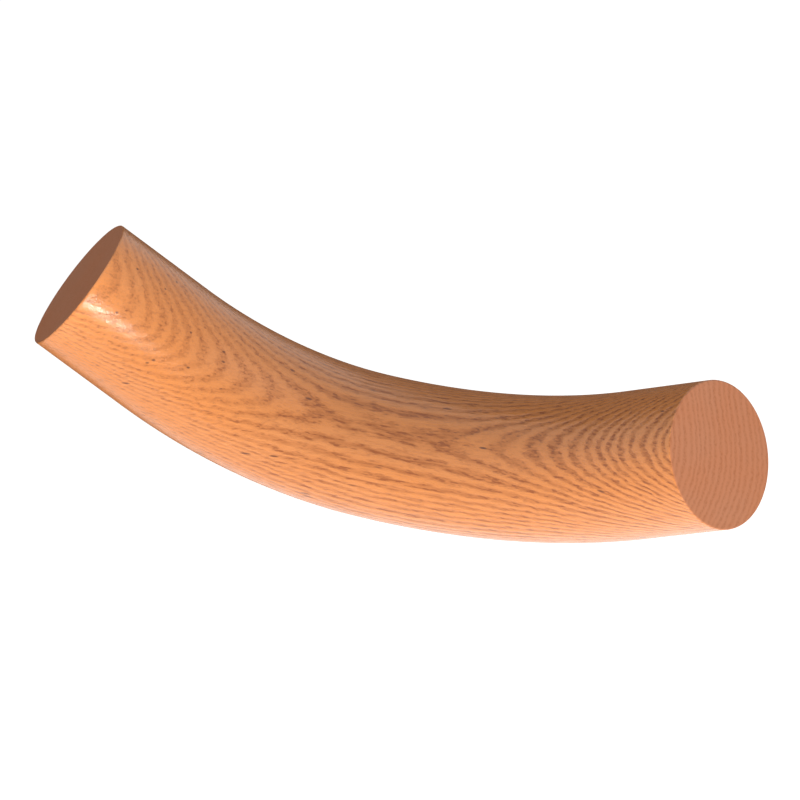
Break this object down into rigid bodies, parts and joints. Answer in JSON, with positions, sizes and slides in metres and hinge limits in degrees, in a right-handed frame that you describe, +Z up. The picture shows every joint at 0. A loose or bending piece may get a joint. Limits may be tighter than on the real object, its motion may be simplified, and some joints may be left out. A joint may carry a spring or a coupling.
{
  "type": "handrail up easing",
  "caption": "Round solid oak handrail fitting that curves a level rail upward into a raked stair rail, with short straight ends sawn square.",
  "frame": {"origin": "centre of the level end's face", "axes": "+X outward along the level rail's axis, +Z up, the bend in the XZ plane and rising towards -X"},
  "size_m": [0.2334, 0.0508, 0.1554],
  "materials": {
    "oak": "clear satin lacquer over warm-toned red oak"
  },
  "bodies": {
    "root": {"up_easing": "oak"}
  },
  "joints": []
}
